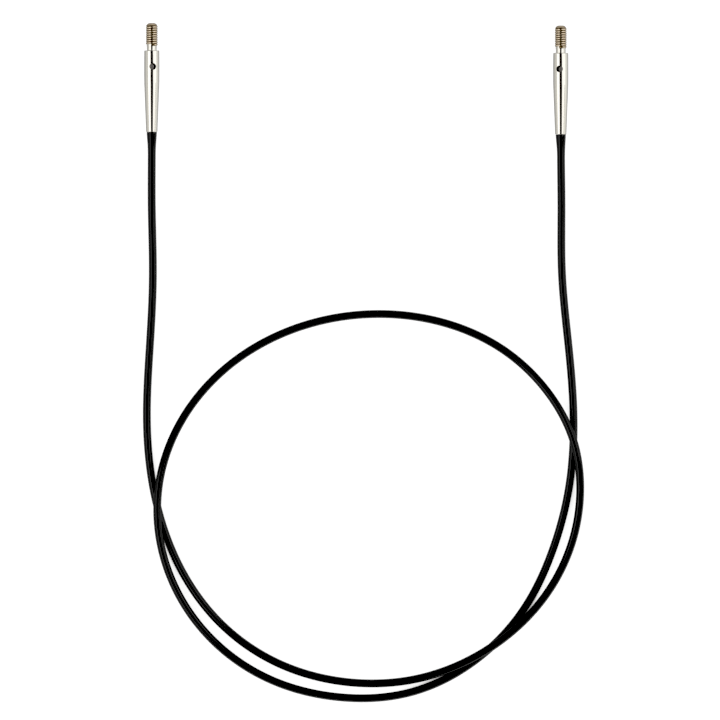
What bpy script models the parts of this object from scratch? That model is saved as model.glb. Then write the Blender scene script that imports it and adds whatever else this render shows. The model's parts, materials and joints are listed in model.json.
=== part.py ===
"""Interchangeable cord for a circular knitting needle.

A nylon-covered steel cable with a screw-in connector on each end.  The cord lies flat on z = 0
in the loop that it holds by itself, with both connectors pointing along +Y.  Each connector is a
threaded stud pressed into a polished tapered ferrule, and it swivels on a headed pin that a crimp
sleeve joins to the cable's steel core.  Lengths in this file are millimetres, written to Blender in
metres.
"""

import math

import bmesh
import bpy
import numpy as np
from mathutils import Vector

MM = 0.001

# --- the two connectors ---------------------------------------------------------------------------
CONNECTOR_SPACING = 83.0
SHOULDER_Y = {"left": 6.6, "right": 6.1}
KEY_HOLE_ROLL_DEG = {"left": 5.5, "right": -10.5}

# --- ferrule: depths run down from the shoulder that a needle tip seats on ---------------------------
FERRULE_LENGTH = 16.5
FERRULE_RADIUS = 1.53
SHOULDER_RADIUS = 1.505
SHOULDER_CHAMFER = 0.12
EDGE_CHAMFER = 0.06
BARREL_DEPTH = 2.8
TAPER_DEPTH = 6.3
TAPER_START_RADIUS = 1.52
MOUTH_RADIUS = 1.13
KEY_HOLE_DIAMETER = 1.25
KEY_HOLE_DEPTH = 3.25
RELIEF_RADIUS = 1.27
RELIEF_DEPTH = 0.12
CHAMBER_RADIUS = 1.06
CHAMBER_DEPTH = 8.35
PIN_BORE_RADIUS = 0.45

# --- threaded stud --------------------------------------------------------------------------------
THREAD_RADIUS = 1.24
THREAD_ROOT_RADIUS = 0.965
THREAD_PITCH = 0.45
THREAD_CREST_FLAT = 0.06
THREAD_ROOT_FLAT = 0.08
STUD_HEIGHT = 5.6
STUD_TIP_CHAMFER = 0.38
NECK_RADIUS = 0.98
NECK_HEIGHT = 1.15
SPIGOT_RADIUS = 1.02
SPIGOT_LENGTH = 6.9

# --- swivel pin and crimp sleeve ----------------------------------------------------------------------
PIN_HEAD_RADIUS = 0.9
PIN_HEAD_TOP = 7.0
PIN_HEAD_BOTTOM = 8.3
PIN_SHANK_RADIUS = 0.4
PIN_TAIL_TOP = 16.7
PIN_TAIL_BOTTOM = 17.4
CRIMP_TOP = 16.74
CRIMP_BOTTOM = 18.3
CRIMP_RADIUS = 0.53
CRIMP_BORE_RADIUS = 0.36

# --- cable ------------------------------------------------------------------------------------------
CABLE_RADIUS = 0.80
FLARE_RADIUS = 0.98
FLARE_LENGTH = 3.0
JACKET_WALL = 0.40
JACKET_GAP = 0.12
JACKET_SOCKET_RADIUS = 0.58
JACKET_SOCKET_LENGTH = 1.85
CORE_RADIUS = 0.325
CORE_START = 17.5
ROUTE_SPANS = 74

TURN_STEPS = 24
THREAD_STEPS = 16
PIN_STEPS = 16
SMOOTH_ANGLE = math.radians(30.0)
MERGE_DISTANCE = 1e-7

# The cable's centre line, from the end of the left flare to the end of the right one.  It rises in a
# long low hump where it passes over itself: low right, right, and left.
ROUTE = (
    (-41.5, -13.1, 1.53), (-41.52, -24.5, 1.18), (-41.3, -39.5, 0.85), (-41.95, -54.0, 0.83),
    (-42.5, -68.5, 0.83), (-41.0, -83.2, 0.83), (-36.4, -97.1, 0.83), (-28.1, -109.1, 0.83),
    (-16.2, -117.6, 0.83), (-2.1, -121.55, 0.91), (13.0, -120.75, 1.40), (27.9, -114.1, 2.62),
    (38.1, -104.4, 1.50), (43.9, -92.85, 1.18), (45.45, -82.0, 1.80), (44.0, -72.4, 2.62),
    (39.65, -63.8, 1.68), (29.8, -54.1, 0.93), (16.5, -48.3, 0.83), (2.0, -46.93, 0.83),
    (-12.4, -49.8, 0.83), (-25.2, -56.8, 0.89), (-34.9, -67.55, 1.30), (-39.95, -81.0, 2.47),
    (-40.1, -91.0, 2.47), (-36.3, -103.3, 1.30), (-28.7, -113.5, 0.89), (-17.6, -121.0, 0.83),
    (-3.4, -124.65, 0.83), (11.05, -123.65, 0.83), (24.1, -117.2, 0.83), (33.7, -107.25, 0.83),
    (39.7, -95.25, 0.83), (43.2, -82.0, 0.83), (44.1, -67.5, 0.83), (43.0, -52.5, 0.83),
    (41.75, -38.5, 0.85), (41.65, -25.0, 1.18), (41.55, -13.6, 1.53),
)

SIDES = {"left": -1, "right": 1}

BRASS = ("brass", (0.62, 0.47, 0.26), 0.32, 1.0)
NICKEL = ("polished_nickel", (0.86, 0.85, 0.82), 0.08, 1.0)
STEEL = ("stainless_steel", (0.55, 0.55, 0.54), 0.30, 1.0)
NYLON = ("black_nylon", (0.008, 0.008, 0.009), 0.34, 0.0)


def clear_scene():
    for item in list(bpy.data.objects):
        bpy.data.objects.remove(item, do_unlink=True)


def new_collection(name):
    collection = bpy.data.collections.new(name)
    bpy.context.scene.collection.children.link(collection)
    return collection


def new_material(name, colour, roughness, metallic):
    material = bpy.data.materials.get(name)
    if material:
        return material
    material = bpy.data.materials.new(name)
    material.use_nodes = True
    shader = material.node_tree.nodes["Principled BSDF"]
    shader.inputs["Base Color"].default_value = (*colour, 1.0)
    shader.inputs["Roughness"].default_value = roughness
    shader.inputs["Metallic"].default_value = metallic
    return material


def new_object(name, data, collection, finish=None, parent=None):
    item = bpy.data.objects.new(name, data)
    collection.objects.link(item)
    item.parent = parent
    if finish:
        data.materials.append(new_material(*finish))
    return item


def screw(item, steps, turns=1, pitch=0.0):
    """Sweep a profile about the local Z axis, in one ring or in a helix."""
    modifier = item.modifiers.new("turn", "SCREW")
    modifier.axis = "Z"
    modifier.steps = steps
    modifier.render_steps = steps
    modifier.iterations = turns
    modifier.screw_offset = pitch * MM
    modifier.use_merge_vertices = pitch == 0.0
    modifier.merge_threshold = MERGE_DISTANCE


def turned(name, profile, steps, collection, finish=None, parent=None, ring=False):
    """A turned piece from (radius, height) points that run down its outer side."""
    points = [(radius * MM, 0.0, height * MM) for radius, height in profile]
    edges = [(i, i + 1) for i in range(len(points) - 1)]
    if ring:
        edges.append((len(points) - 1, 0))
    mesh = bpy.data.meshes.new(name)
    mesh.from_pydata(points, edges, [])
    item = new_object(name, mesh, collection, finish, parent)
    screw(item, steps)
    return item


def rod_profile(radius, top, bottom):
    return [(0.0, top), (radius, top), (radius, bottom), (0.0, bottom)]


def as_cutter(item):
    item.hide_render = True
    item.display_type = "WIRE"
    return item


def boolean(item, operation, tool):
    modifier = item.modifiers.new(operation.lower(), "BOOLEAN")
    modifier.operation = operation
    modifier.solver = "EXACT"
    modifier.object = tool


def evaluated_mesh(item):
    bpy.context.view_layer.update()
    graph = bpy.context.evaluated_depsgraph_get()
    return bpy.data.meshes.new_from_object(item.evaluated_get(graph), depsgraph=graph)


def apply_and_smooth(item):
    """Keep the evaluated shape as the object's mesh, smooth but for its real edges."""
    mesh = evaluated_mesh(item)
    item.modifiers.clear()
    mesh.name = item.name
    mesh.shade_smooth()
    mesh.set_sharp_from_angle(angle=SMOOTH_ANGLE)
    item.data = mesh
    return item


def connector_frame(side, collection):
    """An empty on the swivel axis: local +Z points out along the stud, with 0 at the shoulder."""
    frame = bpy.data.objects.new(side + "_connector_axis", None)
    collection.objects.link(frame)
    frame.location = (
        SIDES[side] * CONNECTOR_SPACING / 2 * MM,
        SHOULDER_Y[side] * MM,
        FERRULE_RADIUS * MM,
    )
    frame.rotation_euler = (-math.pi / 2, math.radians(KEY_HOLE_ROLL_DEG[side]), 0.0)
    frame.empty_display_size = FERRULE_RADIUS * MM
    return frame


def key_hole(side, frame, cutters):
    """The cross hole that a tightening key goes through, square to the connector's axis."""
    bpy.ops.mesh.primitive_cylinder_add(
        vertices=PIN_STEPS,
        radius=KEY_HOLE_DIAMETER / 2 * MM,
        depth=4 * FERRULE_RADIUS * MM,
    )
    hole = bpy.context.object
    hole.name = side + "_key_hole_cutter"
    for collection in list(hole.users_collection):
        collection.objects.unlink(hole)
    cutters.objects.link(hole)
    hole.parent = frame
    hole.location = (0.0, 0.0, -KEY_HOLE_DEPTH * MM)
    hole.rotation_euler = (math.pi / 2, 0.0, 0.0)
    return as_cutter(hole)


def ferrule(side, frame, hole, parts):
    """Polished tapered sleeve: relief round the neck, stud bore and swivel chamber, pin bore."""
    outer = [
        (SHOULDER_RADIUS - SHOULDER_CHAMFER, 0.0),
        (SHOULDER_RADIUS, -SHOULDER_CHAMFER),
        (FERRULE_RADIUS, -BARREL_DEPTH),
        (TAPER_START_RADIUS, -TAPER_DEPTH),
        (MOUTH_RADIUS, -FERRULE_LENGTH + EDGE_CHAMFER),
        (MOUTH_RADIUS - EDGE_CHAMFER, -FERRULE_LENGTH),
    ]
    inner = [
        (PIN_BORE_RADIUS, -FERRULE_LENGTH),
        (PIN_BORE_RADIUS, -CHAMBER_DEPTH),
        (CHAMBER_RADIUS, -CHAMBER_DEPTH),
        (CHAMBER_RADIUS, -RELIEF_DEPTH),
        (RELIEF_RADIUS, -RELIEF_DEPTH),
        (RELIEF_RADIUS, 0.0),
    ]
    piece = turned("ferrule_" + side, outer + inner, TURN_STEPS, parts, NICKEL, frame, ring=True)
    boolean(piece, "DIFFERENCE", hole)
    return apply_and_smooth(piece)


def helical_thread(side, frame, cutters):
    """A right-hand thread as one closed helical solid with flat ends."""
    flank = (THREAD_PITCH - THREAD_CREST_FLAT - THREAD_ROOT_FLAT) / 2
    tooth = [
        (THREAD_ROOT_RADIUS, THREAD_PITCH),
        (THREAD_ROOT_RADIUS, THREAD_PITCH - THREAD_ROOT_FLAT / 2),
        (THREAD_RADIUS, THREAD_ROOT_FLAT / 2 + flank + THREAD_CREST_FLAT),
        (THREAD_RADIUS, THREAD_ROOT_FLAT / 2 + flank),
        (THREAD_ROOT_RADIUS, THREAD_ROOT_FLAT / 2),
        (THREAD_ROOT_RADIUS, 0.0),
    ]
    turns = math.ceil((STUD_HEIGHT - NECK_HEIGHT) / THREAD_PITCH) + 3
    mesh = bpy.data.meshes.new(side + "_thread")
    points = [(radius * MM, 0.0, height * MM) for radius, height in tooth]
    mesh.from_pydata(points, [(i, i + 1) for i in range(len(points) - 1)], [])
    thread = new_object(side + "_thread_tool", mesh, cutters, BRASS, frame)
    thread.location.z = (NECK_HEIGHT - 1.5 * THREAD_PITCH) * MM
    screw(thread, THREAD_STEPS, turns, THREAD_PITCH)
    thread.data = evaluated_mesh(thread)
    thread.modifiers.clear()

    body = bmesh.new()
    body.from_mesh(thread.data)
    bmesh.ops.remove_doubles(body, verts=body.verts, dist=MERGE_DISTANCE * 10)
    ends = (
        (NECK_HEIGHT - EDGE_CHAMFER, (0.0, 0.0, -1.0)),
        (STUD_HEIGHT, (0.0, 0.0, 1.0)),
    )
    for height, outward in ends:
        bmesh.ops.bisect_plane(
            body,
            geom=body.verts[:] + body.edges[:] + body.faces[:],
            plane_co=Vector((0.0, 0.0, height * MM)) - thread.location,
            plane_no=outward,
            clear_outer=True,
        )
    bmesh.ops.holes_fill(body, edges=[edge for edge in body.edges if edge.is_boundary])
    bmesh.ops.recalc_face_normals(body, faces=body.faces)
    body.to_mesh(thread.data)
    body.free()
    return as_cutter(thread)


def threaded_stud(side, frame, hole, parts, cutters):
    """Brass stud: chamfered thread, plain neck, and the spigot that is pressed into the ferrule."""
    profile = [
        (0.0, NECK_HEIGHT),
        (NECK_RADIUS, NECK_HEIGHT),
        (NECK_RADIUS, 0.0),
        (SPIGOT_RADIUS, 0.0),
        (SPIGOT_RADIUS, -SPIGOT_LENGTH),
        (0.0, -SPIGOT_LENGTH),
    ]
    stud = turned("threaded_stud_" + side, profile, THREAD_STEPS, parts, BRASS, frame)
    envelope = [
        (0.0, STUD_HEIGHT - EDGE_CHAMFER / 2),
        (THREAD_RADIUS - STUD_TIP_CHAMFER, STUD_HEIGHT - EDGE_CHAMFER / 2),
        (THREAD_RADIUS + EDGE_CHAMFER, STUD_HEIGHT - EDGE_CHAMFER / 2 - STUD_TIP_CHAMFER),
        (THREAD_RADIUS + EDGE_CHAMFER, -2 * SPIGOT_LENGTH),
        (0.0, -2 * SPIGOT_LENGTH),
    ]
    chamfer = turned(side + "_tip_chamfer_tool", envelope, TURN_STEPS, cutters, None, frame)
    boolean(stud, "UNION", helical_thread(side, frame, cutters))
    boolean(stud, "INTERSECT", as_cutter(chamfer))
    boolean(stud, "DIFFERENCE", hole)
    return apply_and_smooth(stud)


def swivel_pin(side, frame, parts):
    """Headed pin: the head turns in the chamber, and the tail takes the crimp sleeve."""
    profile = [
        (0.0, -PIN_HEAD_TOP),
        (PIN_HEAD_RADIUS - EDGE_CHAMFER, -PIN_HEAD_TOP),
        (PIN_HEAD_RADIUS, -PIN_HEAD_TOP - EDGE_CHAMFER),
        (PIN_HEAD_RADIUS, -PIN_HEAD_BOTTOM),
        (PIN_SHANK_RADIUS, -PIN_HEAD_BOTTOM),
        (PIN_SHANK_RADIUS, -PIN_TAIL_TOP),
        (CORE_RADIUS, -PIN_TAIL_TOP),
        (CORE_RADIUS, -PIN_TAIL_BOTTOM),
        (0.0, -PIN_TAIL_BOTTOM),
    ]
    return apply_and_smooth(turned("swivel_pin_" + side, profile, PIN_STEPS, parts, STEEL, frame))


def crimp_sleeve(side, frame, parts):
    """Short tube over the pin's tail and the end of the cable's core."""
    profile = [
        (CRIMP_RADIUS, -CRIMP_TOP),
        (CRIMP_RADIUS, -CRIMP_BOTTOM),
        (CRIMP_BORE_RADIUS, -CRIMP_BOTTOM),
        (CRIMP_BORE_RADIUS, -CRIMP_TOP),
    ]
    name = "crimp_sleeve_" + side
    return apply_and_smooth(turned(name, profile, PIN_STEPS, parts, STEEL, frame, ring=True))


def route_tangents(points):
    """Tangents of the smooth cubic through the points, straight along Y at both ends."""
    count = len(points)
    chord = np.linalg.norm(np.diff(points, axis=0), axis=1)
    system = np.zeros((count, count))
    target = np.zeros((count, 3))
    system[0, 0] = system[-1, -1] = 1.0
    target[0] = (0.0, -1.0, 0.0)
    target[-1] = (0.0, 1.0, 0.0)
    for i in range(1, count - 1):
        before, after = chord[i - 1], chord[i]
        system[i, i - 1:i + 2] = (after, 2 * (before + after), before)
        rise_in = (points[i] - points[i - 1]) / before
        rise_out = (points[i + 1] - points[i]) / after
        target[i] = 3 * (after * rise_in + before * rise_out)
    return chord, np.linalg.solve(system, target)


def smooth_route(spans):
    """Points at even steps along the smooth curve through ROUTE."""
    points = np.array(ROUTE)
    chord, tangent = route_tangents(points)
    fine = []
    for i, length in enumerate(chord):
        for t in np.linspace(0.0, 1.0, 24, endpoint=False):
            fine.append(
                (2 * t**3 - 3 * t**2 + 1) * points[i]
                + (t**3 - 2 * t**2 + t) * length * tangent[i]
                + (3 * t**2 - 2 * t**3) * points[i + 1]
                + (t**3 - t**2) * length * tangent[i + 1]
            )
    fine = np.array(fine + [points[-1]])
    travelled = np.concatenate([[0.0], np.cumsum(np.linalg.norm(np.diff(fine, axis=0), axis=1))])
    even = np.linspace(0.0, travelled[-1], spans + 1)
    return np.column_stack([np.interp(even, travelled, fine[:, axis]) for axis in range(3)])


def end_point(side, depth):
    """A point on a connector's axis, at a depth below its shoulder."""
    return (SIDES[side] * CONNECTOR_SPACING / 2, SHOULDER_Y[side] - depth, FERRULE_RADIUS)


def cable_curve(name, points, radius, scales, collection, finish):
    """A tube of eight sides along the points; scales widen it point by point."""
    curve = bpy.data.curves.new(name, "CURVE")
    curve.dimensions = "3D"
    curve.bevel_depth = radius * MM
    curve.bevel_resolution = 2
    spline = curve.splines.new("POLY")
    spline.points.add(len(points) - 1)
    for knot, place, scale in zip(spline.points, points, scales):
        knot.co = (*(Vector(place) * MM), 1.0)
        knot.radius = scale
    return new_object(name, curve, collection, finish)


def cable_jacket(parts, cutters, frames):
    """Black nylon tube over the whole cable, flared and bored out at both ends."""
    start = FERRULE_LENGTH + JACKET_GAP
    flare = start + FLARE_LENGTH / 2
    ends = {side: [end_point(side, start), end_point(side, flare)] for side in SIDES}
    points = ends["left"] + [tuple(point) for point in smooth_route(ROUTE_SPANS)] + ends["right"][::-1]
    middle = (1.0 + FLARE_RADIUS / CABLE_RADIUS) / 2
    flared = [FLARE_RADIUS / CABLE_RADIUS, middle]
    scales = flared + [1.0] * (ROUTE_SPANS + 1) + flared[::-1]
    tube = cable_curve("jacket_tube", points, CABLE_RADIUS, scales, parts, NYLON)
    mesh = evaluated_mesh(tube)
    bpy.data.objects.remove(tube)
    mesh.name = "cable_jacket"
    jacket = new_object("cable_jacket", mesh, parts)
    wall = jacket.modifiers.new("wall", "SOLIDIFY")
    wall.thickness = JACKET_WALL * MM
    wall.offset = -1.0
    for side, frame in frames.items():
        profile = rod_profile(JACKET_SOCKET_RADIUS, -FERRULE_LENGTH, -start - JACKET_SOCKET_LENGTH)
        socket = turned(side + "_crimp_socket_cutter", profile, PIN_STEPS, cutters, None, frame)
        boolean(jacket, "DIFFERENCE", as_cutter(socket))
    return apply_and_smooth(jacket)


def cable_core(parts):
    """Stainless wire strand down the middle of the jacket, into both crimp sleeves."""
    route = [tuple(point) for point in smooth_route(ROUTE_SPANS)]
    points = [end_point("left", CORE_START)] + route + [end_point("right", CORE_START)]
    core = cable_curve("cable_core", points, CORE_RADIUS, [1.0] * len(points), parts, STEEL)
    core.data.use_fill_caps = True
    return core


def main():
    clear_scene()
    parts = new_collection("knitting_needle_cord")
    cutters = new_collection("cutters")
    frames = {}
    for side in SIDES:
        frame = connector_frame(side, parts)
        hole = key_hole(side, frame, cutters)
        threaded_stud(side, frame, hole, parts, cutters)
        ferrule(side, frame, hole, parts)
        swivel_pin(side, frame, parts)
        crimp_sleeve(side, frame, parts)
        frames[side] = frame
    cable_jacket(parts, cutters, frames)
    cable_core(parts)


main()
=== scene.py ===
"""Looks of an interchangeable cord for a circular knitting needle, built round its fixed frame."""
import json
import math

import bmesh
import bpy
import numpy as np
from bpy.props import FloatProperty, FloatVectorProperty, IntProperty, PointerProperty
from bpy.types import Operator, Panel, PropertyGroup
from mathutils import Matrix, Vector


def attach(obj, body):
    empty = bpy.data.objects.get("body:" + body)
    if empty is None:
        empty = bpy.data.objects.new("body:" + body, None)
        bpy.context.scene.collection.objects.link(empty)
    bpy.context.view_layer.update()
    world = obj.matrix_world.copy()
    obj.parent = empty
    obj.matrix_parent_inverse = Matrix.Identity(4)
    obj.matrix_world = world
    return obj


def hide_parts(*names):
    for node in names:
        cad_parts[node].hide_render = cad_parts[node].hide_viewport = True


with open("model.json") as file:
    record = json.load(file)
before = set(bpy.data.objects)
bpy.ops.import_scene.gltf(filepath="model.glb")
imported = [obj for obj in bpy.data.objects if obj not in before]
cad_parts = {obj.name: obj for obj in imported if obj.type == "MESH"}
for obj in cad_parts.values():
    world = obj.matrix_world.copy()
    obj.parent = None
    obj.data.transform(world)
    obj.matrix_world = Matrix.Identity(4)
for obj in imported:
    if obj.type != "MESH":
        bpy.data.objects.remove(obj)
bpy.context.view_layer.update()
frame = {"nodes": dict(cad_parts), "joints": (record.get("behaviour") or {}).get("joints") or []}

bl_info = {
    "name": "Knitting Needle Cord",
    "version": (1, 0, 0),
    "blender": (4, 5, 0),
    "location": "View3D > Sidebar > Cord",
    "description": "Builds the cable, ferrules and threaded studs of a circular needle's cord",
    "category": "Object",
}

MM = 0.001
MERGE_DISTANCE = 1e-7
SIDES = ("left", "right")
CABLE_BODY = "cable"
STEPS_PER_SPAN = 40
JACKET_SIDES = 32
CORE_SIDES = 24
KEY_HOLE_SIDES = 48
EDGE_BLUR = 0.03 * MM
FINE_EDGE = 0.02 * MM
SMALL_EDGE = 0.04 * MM

# The cable's centre line in millimetres, from the end of the left flare to the end of the right one.
ROUTE = (
    (-41.5, -13.1, 1.53), (-41.52, -24.5, 1.18), (-41.3, -39.5, 0.85), (-41.95, -54.0, 0.83),
    (-42.5, -68.5, 0.83), (-41.0, -83.2, 0.83), (-36.4, -97.1, 0.83), (-28.1, -109.1, 0.83),
    (-16.2, -117.6, 0.83), (-2.1, -121.55, 0.91), (13.0, -120.75, 1.40), (27.9, -114.1, 2.62),
    (38.1, -104.4, 1.50), (43.9, -92.85, 1.18), (45.45, -82.0, 1.80), (44.0, -72.4, 2.62),
    (39.65, -63.8, 1.68), (29.8, -54.1, 0.93), (16.5, -48.3, 0.83), (2.0, -46.93, 0.83),
    (-12.4, -49.8, 0.83), (-25.2, -56.8, 0.89), (-34.9, -67.55, 1.30), (-39.95, -81.0, 2.47),
    (-40.1, -91.0, 2.47), (-36.3, -103.3, 1.30), (-28.7, -113.5, 0.89), (-17.6, -121.0, 0.83),
    (-3.4, -124.65, 0.83), (11.05, -123.65, 0.83), (24.1, -117.2, 0.83), (33.7, -107.25, 0.83),
    (39.7, -95.25, 0.83), (43.2, -82.0, 0.83), (44.1, -67.5, 0.83), (43.0, -52.5, 0.83),
    (41.75, -38.5, 0.85), (41.65, -25.0, 1.18), (41.55, -13.6, 1.53),
)

# Light in the room by height, from straight down at 0, over the horizon at 0.5, to straight up at 1.
CEILING = (0.056, 0.054, 0.055)
ROOM_LIGHT = (
    (0.0, (0.07, 0.07, 0.07)), (0.03, (0.09, 0.09, 0.09)), (0.09, (0.46, 0.46, 0.46)),
    (0.35, (0.74, 0.74, 0.74)), (0.5, (0.88, 0.88, 0.87)),
    (0.60, (1.0, 1.0, 0.98)), (0.66, (1.0, 1.0, 0.98)), (0.735, CEILING), (1.0, CEILING),
)
WHITE = (1.0, 1.0, 1.0)
CONTACT_SHADE = (0.14, 0.13, 0.12)


def length_property(name, description, millimetres):
    return FloatProperty(
        name=name, description=description, default=millimetres * MM, unit="LENGTH", precision=5
    )


def colour_property(name, description, default):
    return FloatVectorProperty(
        name=name, description=description, default=default, size=3, subtype="COLOR", min=0, max=1
    )


def angle_property(name, description, degrees):
    return FloatProperty(
        name=name, description=description, default=math.radians(degrees), subtype="ANGLE"
    )


class CableSizes(PropertyGroup):
    """The nylon-covered cable."""

    radius: length_property("Radius", "Outside radius of the nylon jacket", 0.80)
    wall: length_property("Wall", "Thickness of the nylon round the core", 0.40)
    flare_radius: length_property("Flare radius", "Jacket radius where it meets a ferrule", 1.04)
    flare_length: length_property("Flare length", "Length over which the jacket narrows", 3.3)
    end_gap: length_property("End gap", "Gap between a ferrule and the jacket's end", 0.04)
    lip: length_property("Lip", "Rounding of the jacket's end", 0.04)
    socket_radius: length_property("Socket radius", "Bore over the crimp sleeve", 0.58)
    socket_length: length_property("Socket length", "Depth of that bore", 1.85)
    core_radius: length_property("Core radius", "Outside radius of the stranded core", 0.325)
    core_lay: length_property("Core lay", "Length of one turn of the core's strands", 6.0)
    core_inset: length_property("Core inset", "Core's start below the ferrule's mouth", 1.0)
    step: length_property("Step", "Distance between rings along the cable", 0.7)
    length: length_property("Length", "Cable in view between the two ferrules", 529.1)


class FerruleSizes(PropertyGroup):
    """The polished tapered sleeve, with depths measured down from its shoulder."""

    length: length_property("Length", "Shoulder to mouth", 16.5)
    radius: length_property("Radius", "Widest radius, in the barrel", 1.53)
    shoulder_radius: length_property("Shoulder radius", "Radius at the needle tip's seat", 1.505)
    shoulder_round: length_property("Shoulder rounding", "Rounding of the shoulder's edge", 0.13)
    barrel_depth: length_property("Barrel depth", "Depth of the widest place", 2.8)
    taper_radius: length_property("Taper radius", "Radius where the taper starts", 1.52)
    taper_depth: length_property("Taper depth", "Depth where the taper starts", 6.3)
    mouth_radius: length_property("Mouth radius", "Radius at the cable end", 1.13)
    relief_radius: length_property("Relief radius", "Relief that the thread passes through", 1.27)
    relief_depth: length_property("Relief depth", "Depth of that relief", 0.12)
    bore_radius: length_property("Bore radius", "Stud bore and swivel chamber", 1.06)
    bore_depth: length_property("Bore depth", "Depth of that bore", 8.35)
    pin_radius: length_property("Pin bore radius", "Bore for the swivel pin", 0.45)
    hole_radius: length_property("Key hole radius", "Cross hole for the key", 0.625)
    hole_depth: length_property("Key hole depth", "Its centre below the shoulder", 3.25)
    hole_edge: length_property("Key hole edge", "Broken edge of the cross hole", 0.035)
    left_roll: angle_property("Left roll", "Turn of the left connector about its axis", 9.0)
    right_roll: angle_property("Right roll", "Turn of the right connector about its axis", -10.5)
    segments: IntProperty(name="Segments", description="Faces round the ferrule", default=96)


class StudSizes(PropertyGroup):
    """The threaded stud, with heights measured up from the ferrule's shoulder."""

    crest_radius: length_property("Crest radius", "Outside radius of the thread", 1.19)
    root_radius: length_property("Root radius", "Radius at the bottom of the thread", 1.02)
    pitch: length_property("Pitch", "Height of one turn of the thread", 0.45)
    crest_flat: length_property("Crest flat", "Width of the thread's crest", 0.21)
    root_flat: length_property("Root flat", "Width of the thread's root", 0.06)
    edge: length_property("Edge", "Rounding of the thread's crests and roots", 0.04)
    height: length_property("Height", "Shoulder to tip", 5.57)
    tip_chamfer: length_property("Tip chamfer", "Rounded chamfer of the tip", 0.50)
    neck_radius: length_property("Neck radius", "Plain neck under the thread", 0.98)
    neck_height: length_property("Neck height", "Shoulder to the thread's start", 0.90)
    start_turn: angle_property("Start turn", "Place of the thread's start round the axis", -100.0)
    run_out: angle_property("Run-out", "Turn in which the thread grows to its full height", 50.0)
    spigot_radius: length_property("Spigot radius", "Part pressed into the ferrule", 1.02)
    spigot_length: length_property("Spigot length", "Its depth below the shoulder", 6.9)
    segments: IntProperty(name="Segments", description="Steps in one turn", default=64)


class FinishColours(PropertyGroup):
    """Base colours of the four finishes."""

    nylon: colour_property("Nylon", "Black nylon jacket", (0.0035, 0.0035, 0.0038))
    nickel: colour_property("Nickel", "Polished nickel plate", (0.66, 0.64, 0.585))
    brass: colour_property("Brass", "Bare brass on the thread's crests", (0.54, 0.455, 0.345))
    # Valley shade: painted shade, a darker brass for the thread's valleys.
    valley_shade: colour_property("Valley", "Tarnish in the thread's valleys", (0.24, 0.185, 0.115))
    # Key hole shade: painted shade, a near-black colour for the key hole's wall, where little light
    # reaches.
    key_hole_shade: colour_property("Grime", "Dark film on the wall of a key hole", (0.02, 0.017, 0.014))
    steel: colour_property("Steel", "Stainless steel of pin, sleeve and core", (0.54, 0.53, 0.51))


class StudioSizes(PropertyGroup):
    """Camera, floor and lights."""

    view_width: length_property("View width", "Width of floor in the picture", 146.2)
    view_x: length_property("View X", "Middle of the picture in X", 0.76)
    view_y: length_property("View Y", "Middle of the picture in Y", -56.2)
    camera_height: length_property("Camera height", "Camera above the floor", 3000.0)
    floor_width: length_property("Floor width", "Side of the square floor", 8000.0)
    floor_glow: FloatProperty(name="Floor glow", description="Light from under the floor", default=0.86)
    box_distance: length_property("Softbox distance", "Softbox to the cord", 2000.0)
    black_level: FloatProperty(name="Black level", description="Light that shows as black", default=0.04)


# --- shader maths ---------------------------------------------------------------------------------


class Sock:
    """One output of a node; expressions on it add Math nodes."""

    def __init__(self, finish, output):
        self.finish = finish
        self.output = output

    def maths(self, operation, *values):
        return self.finish.node(
            "ShaderNodeMath", {"operation": operation}, dict(enumerate(values))
        )

    def __add__(self, other):
        return self.maths("ADD", self, other)

    def __sub__(self, other):
        return self.maths("SUBTRACT", self, other)

    def __rsub__(self, other):
        return self.maths("SUBTRACT", other, self)

    def __mul__(self, other):
        return self.maths("MULTIPLY", self, other)

    def __truediv__(self, other):
        return self.maths("DIVIDE", self, other)

    def __rtruediv__(self, other):
        return self.maths("DIVIDE", other, self)

    def __pow__(self, other):
        return self.maths("POWER", self, other)

    def __rpow__(self, other):
        return self.maths("POWER", other, self)

    __radd__ = __add__
    __rmul__ = __mul__


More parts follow.
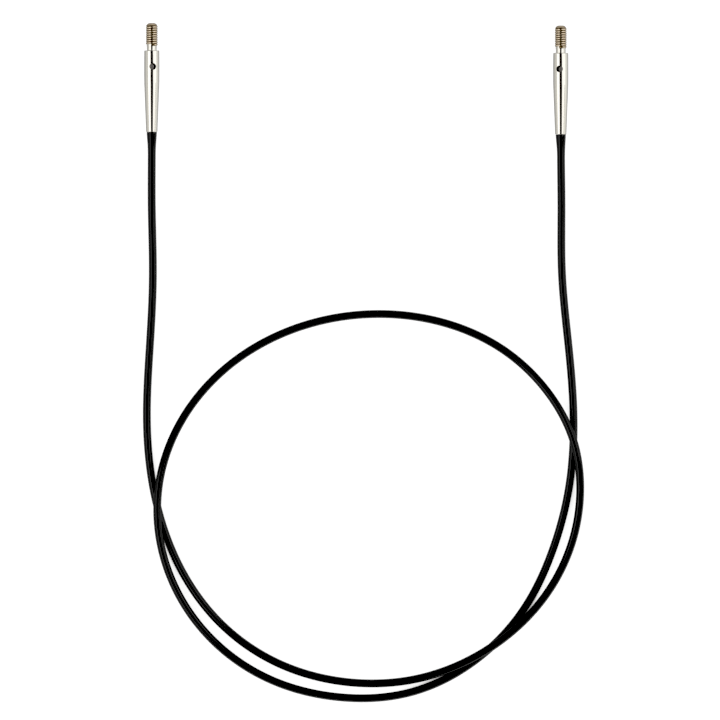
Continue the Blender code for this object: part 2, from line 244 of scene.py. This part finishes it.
class Finish:
    """A node tree with one method that adds any node."""

    def __init__(self, tree):
        self.tree = tree
        self.tree.nodes.clear()

    def node(self, kind, settings=None, inputs=None, output=0):
        node = self.tree.nodes.new(kind)
        for name, value in (settings or {}).items():
            if name == "stops":
                self.set_stops(node.color_ramp, value)
            else:
                setattr(node, name, value)
        for name, value in (inputs or {}).items():
            self.feed(node.inputs[name], value)
        return Sock(self, node.outputs[output]) if node.outputs else None

    def feed(self, socket, value):
        if isinstance(value, Sock):
            self.tree.links.new(value.output, socket)
        else:
            socket.default_value = value

    @staticmethod
    def set_stops(ramp, stops):
        while len(ramp.elements) < len(stops):
            ramp.elements.new(1.0)
        for element, (place, colour) in zip(ramp.elements, stops):
            element.position = place
            element.color = (*colour, 1.0)

    def mix(self, factor, low, high):
        """Colour between low and high."""
        low, high = (c if isinstance(c, Sock) else (*c, 1.0) for c in (low, high))
        return self.node(
            "ShaderNodeMix", {"data_type": "RGBA"}, {0: factor, 6: low, 7: high}, output=2
        )

    def step(self, value, start, end):
        """0 below start, 1 above end, smooth in between."""
        return self.node(
            "ShaderNodeMapRange",
            {"interpolation_type": "SMOOTHSTEP"},
            {"Value": value, "From Min": start, "From Max": end},
        )

    def axes(self, vector):
        """The three parts of a vector."""
        split = self.node("ShaderNodeSeparateXYZ", inputs={"Vector": vector}).output.node
        return [Sock(self, output) for output in split.outputs]

    def length(self, first, second):
        """Length of the two-part vector."""
        return (first * first + second * second) ** 0.5

    def noise(self, vector, scale, stretch=(1.0, 1.0, 1.0), detail=3.0):
        """Noise over the vector, drawn out along an axis where stretch is small."""
        stretched = self.node(
            "ShaderNodeVectorMath", {"operation": "MULTIPLY"}, {0: vector, 1: stretch}
        )
        return self.node(
            "ShaderNodeTexNoise", inputs={"Vector": stretched, "Scale": scale, "Detail": detail}
        )

    def surface(self, **inputs):
        """The Principled shader, linked to the material's output."""
        named = {name.replace("_", " "): value for name, value in inputs.items()}
        shader = self.node("ShaderNodeBsdfPrincipled", inputs=named)
        self.node("ShaderNodeOutputMaterial", inputs={"Surface": shader})

    def bump(self, height, strength, distance):
        return self.node(
            "ShaderNodeBump", inputs={"Height": height, "Strength": strength, "Distance": distance}
        )


def new_finish(name):
    material = bpy.data.materials.new(name)
    material.use_nodes = True
    return material, Finish(material.node_tree)


def object_place(finish):
    """Position in the piece's own axes, in metres."""
    return finish.node("ShaderNodeTexCoord", output=3)


def hole_wall(finish, place_x, place_z):
    """1 on the wall and broken edge of the key hole."""
    sizes = bpy.context.scene.cord_ferrule
    reach = finish.length(place_x, place_z + sizes.hole_depth)
    edge = sizes.hole_radius + sizes.hole_edge
    return 1.0 - finish.step(reach, edge, edge + EDGE_BLUR)


def black_nylon():
    """Extruded nylon: glossy, with faint draw lines along the cable and a few rubbed places."""
    material, finish = new_finish("black_nylon")
    colours = bpy.context.scene.cord_colours
    place = finish.node("ShaderNodeAttribute", {"attribute_name": "cable_place"}, output=1)
    draw_lines = finish.noise(place, 2600.0, (1.0, 1.0, 0.012))
    ripple = finish.noise(place, 900.0, (1.0, 1.0, 0.35), detail=2.0)
    rubbed = finish.step(finish.noise(place, 260.0, (1.0, 1.0, 0.3), detail=4.0), 0.55, 0.72)
    dusty = tuple(channel * 2.2 for channel in colours.nylon)
    finish.surface(
        Base_Color=finish.mix(rubbed * 0.5, tuple(colours.nylon), dusty),
        Roughness=0.17 + draw_lines * 0.05 + rubbed * 0.05,
        IOR=1.5,
        Normal=finish.bump(draw_lines * 0.35 + ripple, 0.12, 0.02 * MM),
    )
    return material


def polished_nickel():
    """Mirror polish with fine rings from the lathe, soft smears, and painted shade on the key hole's
    wall.
    """
    material, finish = new_finish("polished_nickel")
    colours = bpy.context.scene.cord_colours
    place = object_place(finish)
    place_x, _, place_z = finish.axes(place)
    rings = finish.noise(place, 9000.0, (0.02, 0.02, 1.0), detail=2.0)
    smears = finish.noise(place, 420.0, (1.0, 1.0, 0.4), detail=4.0)
    hole = hole_wall(finish, place_x, place_z)
    rim = finish.step(place_z, -0.16 * MM, -0.02 * MM)
    dulled = finish.step(smears, 0.42, 0.75)
    worn = tuple(channel * 0.85 for channel in colours.nickel)
    plate = finish.mix(rim, tuple(colours.nickel), worn)
    finish.surface(
        # The key hole's wall gets painted shade: near-black, not metal, and rough.
        Base_Color=finish.mix(hole, plate, tuple(colours.key_hole_shade)),
        Metallic=1.0 - hole,
        Roughness=0.05 + rings * 0.006 + dulled * 0.02 + hole * 0.5 + rim * 0.05,
        Normal=finish.bump(rings, 0.012, 0.002 * MM),
    )
    return material


def thread_start(finish, place_x, place_y):
    """Height where the cut thread begins, which climbs with the helix round the stud."""
    sizes = bpy.context.scene.cord_stud
    turn = finish.node("ShaderNodeMath", {"operation": "ARCTAN2"}, {0: place_y, 1: place_x})
    past = (turn - sizes.start_turn) / (2 * math.pi) + 1.0
    return past.maths("FRACT", past) * sizes.pitch + sizes.neck_height


def brass_thread():
    """Cut brass: bright crests, painted shade in the valleys, and a nickel-plated neck below the thread.
    """
    material, finish = new_finish("brass_thread")
    colours = bpy.context.scene.cord_colours
    sizes = bpy.context.scene.cord_stud
    place = object_place(finish)
    place_x, place_y, place_z = finish.axes(place)
    radius = finish.length(place_x, place_y)
    mottle = finish.noise(place, 2400.0, detail=4.0)
    cut_marks = finish.noise(place, 12000.0, (0.1, 0.1, 1.0), detail=2.0)
    depth = sizes.crest_radius - sizes.root_radius
    valley_end = sizes.root_radius + 0.55 * depth
    crest_start = sizes.root_radius + 0.92 * depth
    # Painted shade: below crest_start the thread takes the darker valley colour; the tip's chamfer
    # mostly keeps the brass.
    ridge = finish.step(radius + (mottle - 0.5) * 0.06 * MM, valley_end, crest_start)
    tip = finish.step(place_z, sizes.height - 0.55 * MM, sizes.height - 0.35 * MM) * 0.7
    crest = ridge + tip * (1.0 - ridge)
    bright = tuple(min(1.0, channel * 1.18) for channel in colours.brass)
    brass = finish.mix(crest, tuple(colours.valley_shade), finish.mix(mottle, tuple(colours.brass), bright))
    start = thread_start(finish, place_x, place_y)
    threaded = finish.step(place_z - start + (mottle - 0.5) * 0.05 * MM, -EDGE_BLUR, EDGE_BLUR)
    # In the shank, the key hole's wall gets painted shade: near-black, not metal, and rough.
    hole = hole_wall(finish, place_x, place_z) * (1.0 - threaded)
    shank = finish.mix(hole, tuple(colours.nickel), tuple(colours.key_hole_shade))
    finish.surface(
        Base_Color=finish.mix(threaded, shank, brass),
        Metallic=1.0 - hole,
        Roughness=threaded * (0.40 - crest * 0.24) + (1.0 - threaded) * 0.09 + hole * 0.5,
        Normal=finish.bump(cut_marks, 0.10, 0.006 * MM),
    )
    return material


def drawn_steel():
    """Stainless steel with fine drawing marks along the axis."""
    material, finish = new_finish("drawn_steel")
    colours = bpy.context.scene.cord_colours
    place = object_place(finish)
    marks = finish.noise(place, 7000.0, (1.0, 0.03, 1.0), detail=2.0)
    tint = tuple(channel * 0.82 for channel in colours.steel)
    finish.surface(
        Base_Color=finish.mix(marks, tint, tuple(colours.steel)),
        Metallic=1.0,
        Roughness=0.24 + marks * 0.12,
        Normal=finish.bump(marks, 0.10, 0.005 * MM),
    )
    return material


# --- meshes ---------------------------------------------------------------------------------------


def skin_rows(body, rows, close_rows=True, close_ends=False):
    """Faces between rows of vertices; a row of one vertex is a pole."""
    pairs = list(zip(rows, rows[1:]))
    if close_ends:
        pairs.append((rows[-1], rows[0]))
    for first, second in pairs:
        count = max(len(first), len(second))
        for i in range(count if close_rows else count - 1):
            j = (i + 1) % count
            ring = [first[i % len(first)], first[j % len(first)]]
            ring += [second[j % len(second)], second[i % len(second)]]
            corners = list(dict.fromkeys(ring))
            if len(corners) > 2:
                body.faces.new(corners)


def mesh_from(body, name):
    bmesh.ops.recalc_face_normals(body, faces=body.faces)
    mesh = bpy.data.meshes.new(name)
    body.to_mesh(mesh)
    body.free()
    return mesh


def new_piece(name, mesh, matrix=None):
    piece = bpy.data.objects.new(name, mesh)
    bpy.context.scene.collection.objects.link(piece)
    if matrix is not None:
        piece.matrix_world = matrix
    return piece


def soft_profile(corners, steps=5):
    """Points along (radius, height, reach) corners, each rounded from reach before it to reach after."""
    points = []
    for i, (radius, height, reach) in enumerate(corners):
        corner = Vector((radius, height))
        if reach == 0.0:
            points.append(corner)
            continue
        before = Vector(corners[i - 1][:2]) - corner
        after = Vector(corners[(i + 1) % len(corners)][:2]) - corner
        start = corner + before.normalized() * reach
        end = corner + after.normalized() * reach
        for step in range(steps + 1):
            t = step / steps
            points.append(start * (1 - t) ** 2 + corner * (2 * t * (1 - t)) + end * t**2)
    return points


def turned_mesh(name, profile, segments, ring=False):
    """A mesh turned about Z from (radius, height) points."""
    body = bmesh.new()
    turns = [2 * math.pi * i / segments for i in range(segments)]
    rows = []
    for radius, height in profile:
        if radius < MERGE_DISTANCE:
            rows.append([body.verts.new((0.0, 0.0, height))])
        else:
            rows.append(
                [body.verts.new((radius * math.cos(a), radius * math.sin(a), height)) for a in turns]
            )
    skin_rows(body, rows, close_ends=ring)
    return mesh_from(body, name)


def combine(piece, operation, tool):
    """Cut or join the tool with the piece, and remove the tool."""
    modifier = piece.modifiers.new(operation.lower(), "BOOLEAN")
    modifier.operation = operation
    modifier.solver = "EXACT"
    modifier.object = tool
    bpy.context.view_layer.update()
    graph = bpy.context.evaluated_depsgraph_get()
    mesh = bpy.data.meshes.new_from_object(piece.evaluated_get(graph), depsgraph=graph)
    piece.modifiers.clear()
    mesh.name = piece.name
    piece.data = mesh
    bpy.data.objects.remove(tool)


def shade(piece, material, sharp_degrees=32.0):
    piece.data.materials.clear()
    piece.data.materials.append(material)
    piece.data.shade_smooth()
    piece.data.set_sharp_from_angle(angle=math.radians(sharp_degrees))


def weigh_normals(piece):
    modifier = piece.modifiers.new("weighted_normals", "WEIGHTED_NORMAL")
    modifier.keep_sharp = True


def swivel_point(side):
    """The point on a connector's axis that lies in its shoulder."""
    joint = next(j for j in frame["joints"] if j["name"] == side + "_swivel")
    return Vector(joint["pos_m"])


def connector_matrix(side):
    """A connector's axes: +Z out along the stud, 0 at the shoulder, rolled to its key hole."""
    sizes = bpy.context.scene.cord_ferrule
    roll = sizes.left_roll if side == "left" else sizes.right_roll
    turn = Matrix.Rotation(roll, 4, "Y") @ Matrix.Rotation(-math.pi / 2, 4, "X")
    return Matrix.Translation(swivel_point(side)) @ turn


def key_hole_tool(side):
    sizes = bpy.context.scene.cord_ferrule
    reach = 2 * sizes.radius
    profile = [(0.0, reach), (sizes.hole_radius, reach), (sizes.hole_radius, -reach), (0.0, -reach)]
    mesh = turned_mesh("key_hole_tool", profile, KEY_HOLE_SIDES)
    across = Matrix.Translation((0.0, 0.0, -sizes.hole_depth)) @ Matrix.Rotation(math.pi / 2, 4, "X")
    return new_piece("key_hole_tool", mesh, connector_matrix(side) @ across)


# --- cable ----------------------------------------------------------------------------------------


def route_tangents(points):
    """Tangents of the smooth cubic through the points, straight along Y at both ends."""
    count = len(points)
    chord = np.linalg.norm(np.diff(points, axis=0), axis=1)
    system = np.zeros((count, count))
    target = np.zeros((count, 3))
    system[0, 0] = system[-1, -1] = 1.0
    target[0] = (0.0, -1.0, 0.0)
    target[-1] = (0.0, 1.0, 0.0)
    for i in range(1, count - 1):
        before, after = chord[i - 1], chord[i]
        system[i, i - 1:i + 2] = (after, 2 * (before + after), before)
        rise_in = (points[i] - points[i - 1]) / before
        rise_out = (points[i + 1] - points[i]) / after
        target[i] = 3 * (after * rise_in + before * rise_out)
    return chord, np.linalg.solve(system, target)


def cable_line(start_depth):
    """Fine points along the whole cable and how far each has travelled, from both connectors' axes."""
    points = np.array(ROUTE) * MM
    chord, tangent = route_tangents(points)
    fine = [np.array(swivel_point("left") - Vector((0.0, start_depth, 0.0)))]
    for i, length in enumerate(chord):
        for t in np.linspace(0.0, 1.0, STEPS_PER_SPAN, endpoint=False):
            fine.append(
                (2 * t**3 - 3 * t**2 + 1) * points[i]
                + (t**3 - 2 * t**2 + t) * length * tangent[i]
                + (3 * t**2 - 2 * t**3) * points[i + 1]
                + (t**3 - t**2) * length * tangent[i + 1]
            )
    fine += [points[-1], np.array(swivel_point("right") - Vector((0.0, start_depth, 0.0)))]
    fine = np.array(fine)
    steps = np.linalg.norm(np.diff(fine, axis=0), axis=1)
    return fine, np.concatenate([[0.0], np.cumsum(steps)])


def points_at(line, distances):
    fine, travelled = line
    return np.column_stack([np.interp(distances, travelled, fine[:, axis]) for axis in range(3)])


def ring_axes(line, distances):
    """Two axes across the cable at each distance, carried along it without twist."""
    small = 0.2 * MM
    ahead = points_at(line, np.clip(distances + small, 0.0, line[1][-1]))
    behind = points_at(line, np.clip(distances - small, 0.0, line[1][-1]))
    along = [Vector(step).normalized() for step in ahead - behind]
    side = Vector((1.0, 0.0, 0.0))
    axes = []
    for direction in along:
        side = (side - direction * side.dot(direction)).normalized()
        axes.append((side, direction.cross(side)))
    return axes


def sweep(name, line, rings, segments, shape, closed):
    """A tube along the line. rings are (distance, radius); shape scales the radius round it."""
    order = sorted(set(distance for distance, _ in rings))
    distances = np.array(order)
    centres = dict(zip(order, points_at(line, distances)))
    axes = dict(zip(order, ring_axes(line, distances)))
    body = bmesh.new()
    place = body.verts.layers.float_vector.new("cable_place")
    rows = []
    for distance, radius in rings:
        side, up = axes[distance]
        row = []
        for i in range(segments if radius > 0.0 else 1):
            turn = 2 * math.pi * i / segments
            reach = radius * shape(turn, distance)
            offset = side * (math.cos(turn) * reach) + up * (math.sin(turn) * reach)
            vertex = body.verts.new(Vector(centres[distance]) + offset)
            vertex[place] = (math.cos(turn) * reach, math.sin(turn) * reach, distance)
            row.append(vertex)
        rows.append(row)
    skin_rows(body, rows, close_ends=closed)
    return mesh_from(body, name)


def jacket_end(sizes):
    """(distance, radius) from the bottom of the crimp socket, out over the lip and down the flare."""
    draft, straight, flare_bend = 0.06 * MM, 0.9 * MM, 0.5 * MM
    cable_bend, plain_lead = 1.3 * MM, 1.8 * MM
    corners = [
        (sizes.radius - sizes.wall, sizes.socket_length, 0.0),
        (sizes.socket_radius, sizes.socket_length, 0.0),
        (sizes.socket_radius, 0.0, sizes.lip),
        (sizes.flare_radius, 0.0, sizes.lip),
        (sizes.flare_radius - draft, straight, flare_bend),
        (sizes.radius, sizes.flare_length, cable_bend),
        (sizes.radius, sizes.flare_length + plain_lead, 0.0),
    ]
    return [(point.y, point.x) for point in soft_profile(corners, 6)]


def round_outline(turn, distance):
    return 1.0


def build_jacket():
    scene = bpy.context.scene
    sizes, ferrule = scene.cord_cable, scene.cord_ferrule
    line = cable_line(ferrule.length + sizes.end_gap)
    total = line[1][-1]
    start = jacket_end(sizes)
    plain = np.arange(start[-1][0] + sizes.step, total - start[-1][0], sizes.step)
    outside = start + [(distance, sizes.radius) for distance in plain]
    outside += [(total - distance, radius) for distance, radius in reversed(start)]
    inner = sizes.radius - sizes.wall
    bore = [(distance, inner) for distance in reversed(plain[::3])]
    mesh = sweep("nylon_jacket", line, outside + bore, JACKET_SIDES, round_outline, True)
    jacket = new_piece("nylon_jacket", mesh)
    shade(jacket, black_nylon(), 40.0)
    return jacket, line


def strand_outline(lay):
    """Six outer strands wound round the middle one, as a share of the core's radius."""
    half_the_strands, groove, roundness = 3, 0.14, 0.7

    def shape(turn, distance):
        phase = half_the_strands * (turn - 2 * math.pi * distance / lay)
        return 0.86 + groove * abs(math.cos(phase)) ** roundness

    return shape


def build_core():
    scene = bpy.context.scene
    sizes, ferrule = scene.cord_cable, scene.cord_ferrule
    line = cable_line(ferrule.length + sizes.core_inset)
    total = line[1][-1]
    ring_step = 0.5 * MM
    rings = [(distance, sizes.core_radius) for distance in np.arange(0.0, total, ring_step)]
    rings = [(0.0, 0.0)] + rings + [(total, sizes.core_radius), (total, 0.0)]
    mesh = sweep("stranded_core", line, rings, CORE_SIDES, strand_outline(sizes.core_lay), False)
    return new_piece("stranded_core", mesh)


# --- connectors -----------------------------------------------------------------------------------


def ferrule_profile(sizes):
    """Outside from the shoulder down to the mouth, then the stepped bore back up."""
    barrel_swell, taper_bend = 1.6 * MM, 0.3 * MM
    outside = [
        (sizes.shoulder_radius, 0.0, sizes.shoulder_round),
        (sizes.radius, -sizes.barrel_depth, barrel_swell),
        (sizes.taper_radius, -sizes.taper_depth, taper_bend),
        (sizes.mouth_radius, -sizes.length, SMALL_EDGE),
    ]
    bore = [
        (sizes.pin_radius, -sizes.length, SMALL_EDGE),
        (sizes.pin_radius, -sizes.bore_depth, 0.0),
        (sizes.bore_radius, -sizes.bore_depth, 0.0),
        (sizes.bore_radius, -sizes.relief_depth, FINE_EDGE),
        (sizes.relief_radius, -sizes.relief_depth, 0.0),
        (sizes.relief_radius, 0.0, FINE_EDGE),
    ]
    return soft_profile(outside + bore, 6)


def build_ferrule(side, material):
    sizes = bpy.context.scene.cord_ferrule
    mesh = turned_mesh("polished_ferrule_" + side, ferrule_profile(sizes), sizes.segments, ring=True)
    piece = new_piece("polished_ferrule_" + side, mesh, connector_matrix(side))
    combine(piece, "DIFFERENCE", key_hole_tool(side))
    shade(piece, material)
    weigh_normals(piece)
    return piece


def thread_tooth(sizes, growth):
    """One turn's outline, (radius, height) points, with the tooth at a share of its full height."""
    crest = sizes.root_radius + growth * (sizes.crest_radius - sizes.root_radius)
    flank = (sizes.pitch - sizes.crest_flat - sizes.root_flat) / 2
    half_root = sizes.root_flat / 2
    corners = [
        (sizes.root_radius, 0.0, 0.0),
        (sizes.root_radius, half_root, sizes.edge / 2),
        (crest, half_root + flank, sizes.edge),
        (crest, half_root + flank + sizes.crest_flat, sizes.edge),
        (sizes.root_radius, sizes.pitch - half_root, sizes.edge / 2),
        (sizes.root_radius, sizes.pitch, 0.0),
    ]
    return soft_profile(corners, 3)


def thread_tool(side):
    """A plain core that the thread grows out of, as one closed helical solid with flat ends."""
    sizes = bpy.context.scene.cord_stud
    plain_turns, trim = 2, 0.1 * MM
    base = sizes.neck_height - plain_turns * sizes.pitch
    turns = math.ceil((sizes.height - base) / sizes.pitch) + 1
    body = bmesh.new()
    rows = []
    for i in range(turns * sizes.segments + 1):
        turned = 2 * math.pi * i / sizes.segments
        share = (turned - 2 * math.pi * plain_turns) / sizes.run_out
        share = min(max(share, 0.0), 1.0)
        tooth = thread_tooth(sizes, share * share * (3 - 2 * share))
        rise = base + sizes.pitch * i / sizes.segments
        spoke = (math.cos(turned + sizes.start_turn), math.sin(turned + sizes.start_turn))
        rows.append([body.verts.new((r * spoke[0], r * spoke[1], rise + z)) for r, z in tooth])
    skin_rows(body, rows, close_rows=False)
    bmesh.ops.remove_doubles(body, verts=body.verts, dist=MERGE_DISTANCE)
    for height, outward in ((sizes.neck_height - trim, -1.0), (sizes.height + trim, 1.0)):
        bmesh.ops.bisect_plane(
            body,
            geom=body.verts[:] + body.edges[:] + body.faces[:],
            plane_co=(0.0, 0.0, height),
            plane_no=(0.0, 0.0, outward),
            clear_outer=True,
        )
    bmesh.ops.holes_fill(body, edges=[edge for edge in body.edges if edge.is_boundary])
    return new_piece("thread_tool", mesh_from(body, "thread_tool"), connector_matrix(side))


def build_stud(side, material):
    sizes = bpy.context.scene.cord_stud
    top, margin, overlap = sizes.height, 0.06 * MM, 0.15 * MM
    face_bend, side_bend, spigot_bend = 0.32 * MM, 0.36 * MM, 0.1 * MM
    envelope = [
        (0.0, top, 0.0),
        (sizes.crest_radius - sizes.tip_chamfer, top, face_bend),
        (sizes.crest_radius, top - sizes.tip_chamfer, side_bend),
        (sizes.crest_radius + margin, top - 3 * sizes.tip_chamfer, 0.0),
        (sizes.crest_radius + margin, sizes.neck_height + 0.10 * MM, 0.0),
        (sizes.neck_radius - FINE_EDGE, sizes.neck_height - margin, 0.0),
        (0.0, sizes.neck_height - margin, 0.0),
    ]
    mesh = turned_mesh("brass_stud_" + side, soft_profile(envelope, 6), sizes.segments)
    piece = new_piece("brass_stud_" + side, mesh, connector_matrix(side))
    combine(piece, "INTERSECT", thread_tool(side))
    shank = [
        (0.0, sizes.neck_height + overlap, 0.0),
        (sizes.root_radius - 0.1 * MM, sizes.neck_height + overlap, 0.0),
        (sizes.neck_radius, sizes.neck_height, 0.03 * MM),
        (sizes.neck_radius, 0.0, SMALL_EDGE),
        (sizes.spigot_radius, 0.0, FINE_EDGE),
        (sizes.spigot_radius, -sizes.spigot_length, spigot_bend),
        (0.0, -sizes.spigot_length, 0.0),
    ]
    tool = turned_mesh("shank_tool", soft_profile(shank), sizes.segments)
    combine(piece, "UNION", new_piece("shank_tool", tool, connector_matrix(side)))
    combine(piece, "DIFFERENCE", key_hole_tool(side))
    shade(piece, material)
    weigh_normals(piece)
    return piece


# --- stage ----------------------------------------------------------------------------------------


def build_camera():
    studio = bpy.context.scene.cord_studio
    data = bpy.data.cameras.new("camera")
    data.sensor_width = 36.0
    data.lens = data.sensor_width * studio.camera_height / studio.view_width
    data.clip_start = 0.01
    data.clip_end = 100.0
    camera = bpy.data.objects.new("camera", data)
    bpy.context.scene.collection.objects.link(camera)
    camera.location = (studio.view_x, studio.view_y, studio.camera_height)
    bpy.context.scene.camera = camera


def build_floor():
    """A pale floor lit from below as well, dark only in narrow gaps such as the key holes."""
    studio = bpy.context.scene.cord_studio
    body = bmesh.new()
    bmesh.ops.create_grid(body, x_segments=4, y_segments=4, size=studio.floor_width / 2)
    floor = new_piece("floor", mesh_from(body, "floor"))
    floor.visible_glossy = False
    material, finish = new_finish("pale_floor")
    openness = finish.node("ShaderNodeAmbientOcclusion", inputs={"Distance": 3.0 * MM}, output=1)
    glow = finish.mix(finish.step(openness, 0.15, 0.35), CONTACT_SHADE, WHITE)
    finish.surface(
        Base_Color=(0.5, 0.5, 0.5, 1.0),
        Roughness=0.9,
        Specular_IOR_Level=0.0,
        Emission_Color=glow,
        Emission_Strength=studio.floor_glow,
    )
    floor.data.materials.append(material)


def build_softbox(name, azimuth, tilt, width, length, radiance):
    """A soft light; azimuth in degrees from +X towards +Y, tilt from the zenith, sides in metres."""
    studio = bpy.context.scene.cord_studio
    data = bpy.data.lights.new(name, "AREA")
    data.shape = "RECTANGLE"
    data.size, data.size_y = width, length
    data.energy = radiance * math.pi * data.size * data.size_y
    lamp = bpy.data.objects.new(name, data)
    bpy.context.scene.collection.objects.link(lamp)
    lamp.rotation_euler = (0.0, math.radians(tilt), math.radians(azimuth))
    away = lamp.rotation_euler.to_matrix() @ Vector((0.0, 0.0, studio.box_distance))
    lamp.location = Vector((0.0, studio.view_y, 0.0)) + away
    lamp.visible_camera = False


def build_world():
    """A white backdrop, and round the cord a pale room under a dark ceiling, brightest in front."""
    world = bpy.data.worlds.new("studio")
    bpy.context.scene.world = world
    world.use_nodes = True
    finish = Finish(world.node_tree)
    direction = finish.node("ShaderNodeTexCoord", output=0)
    across, along, height = finish.axes(direction)
    light = finish.node(
        "ShaderNodeValToRGB", {"stops": ROOM_LIGHT}, {"Fac": height * 0.5 + 0.5}
    )
    strength = 1.12 + across * 0.14 - along * 0.22
    room = finish.node("ShaderNodeBackground", inputs={"Color": light, "Strength": strength})
    backdrop = finish.node("ShaderNodeBackground", inputs={"Color": (*WHITE, 1.0)})
    camera_ray = finish.node("ShaderNodeLightPath", output=0)
    sky = finish.node("ShaderNodeMixShader", inputs={0: camera_ray, 1: room, 2: backdrop})
    finish.node("ShaderNodeOutputWorld", inputs={"Surface": sky})


def set_tones(scene):
    """Plain display colours, with dim light falling to black."""
    view = scene.view_settings
    view.view_transform = "Standard"
    view.use_curve_mapping = True
    view.curve_mapping.black_level = (scene.cord_studio.black_level,) * 3
    view.curve_mapping.update()


# --- operators ------------------------------------------------------------------------------------


class BuildStage(Operator):
    """Set up the camera, pale floor, softboxes and room"""

    bl_idname = "cord.build_stage"
    bl_label = "Build Stage"

    def execute(self, context):
        build_camera()
        build_floor()
        build_softbox(
            "softbox_left", azimuth=192.0, tilt=40.0, width=1.64, length=1.96, radiance=1.65
        )
        build_softbox(
            "softbox_right", azimuth=20.0, tilt=43.5, width=1.74, length=1.45, radiance=1.5
        )
        build_world()
        set_tones(context.scene)
        return {"FINISHED"}


class BuildCable(Operator):
    """Build the nylon jacket and the stranded core inside it"""

    bl_idname = "cord.build_cable"
    bl_label = "Build Cable"

    def execute(self, context):
        jacket, line = build_jacket()
        core = build_core()
        shade(core, drawn_steel(), 60.0)
        for piece, node, slot in (
            (jacket, "cable_jacket", "black_nylon"), (core, "cable_core", "stainless_steel")
        ):
            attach(piece, CABLE_BODY)
            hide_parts(node)
        return {"FINISHED"}


class BuildFerrules(Operator):
    """Build the two polished ferrules"""

    bl_idname = "cord.build_ferrules"
    bl_label = "Build Ferrules"

    def execute(self, context):
        material = polished_nickel()
        for side in SIDES:
            piece = build_ferrule(side, material)
            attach(piece, side + "_connector")
            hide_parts("ferrule_" + side)
        return {"FINISHED"}


class BuildStuds(Operator):
    """Build the two threaded studs"""

    bl_idname = "cord.build_studs"
    bl_label = "Build Studs"

    def execute(self, context):
        material = brass_thread()
        for side in SIDES:
            piece = build_stud(side, material)
            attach(piece, side + "_connector")
            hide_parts("threaded_stud_" + side)
        return {"FINISHED"}


class FinishInnerParts(Operator):
    """Give the swivel pins and crimp sleeves their steel"""

    bl_idname = "cord.finish_inner_parts"
    bl_label = "Finish Inner Parts"

    def execute(self, context):
        material = drawn_steel()
        for side in SIDES:
            for name in ("swivel_pin_", "crimp_sleeve_"):
                node = frame["nodes"][name + side]
                node.data.materials.clear()
                node.data.materials.append(material)
        return {"FINISHED"}


class CordPanel(Panel):
    """Sizes, colours and steps of the knitting needle cord"""

    bl_idname = "VIEW3D_PT_knitting_cord"
    bl_label = "Knitting Needle Cord"
    bl_space_type = "VIEW_3D"
    bl_region_type = "UI"
    bl_category = "Cord"

    def draw(self, context):
        layout = self.layout
        for operator in OPERATORS:
            layout.operator(operator.bl_idname)
        for name, group in GROUPS.items():
            box = layout.box()
            box.label(text=group.__doc__)
            for prop in group.__annotations__:
                box.prop(getattr(context.scene, name), prop)


GROUPS = {
    "cord_cable": CableSizes,
    "cord_ferrule": FerruleSizes,
    "cord_stud": StudSizes,
    "cord_colours": FinishColours,
    "cord_studio": StudioSizes,
}
OPERATORS = (BuildStage, BuildCable, BuildFerrules, BuildStuds, FinishInnerParts)


def register():
    for group in GROUPS.values():
        bpy.utils.register_class(group)
    for operator in OPERATORS:
        bpy.utils.register_class(operator)
    bpy.utils.register_class(CordPanel)
    for name, group in GROUPS.items():
        setattr(bpy.types.Scene, name, PointerProperty(type=group))


def unregister():
    for name in GROUPS:
        delattr(bpy.types.Scene, name)
    bpy.utils.unregister_class(CordPanel)
    for cls in (*reversed(OPERATORS), *reversed(GROUPS.values())):
        bpy.utils.unregister_class(cls)


def main():
    register()
    bpy.ops.cord.build_stage()
    bpy.ops.cord.build_cable()
    bpy.ops.cord.build_ferrules()
    bpy.ops.cord.build_studs()
    bpy.ops.cord.finish_inner_parts()


if __name__ == "__main__":
    main()
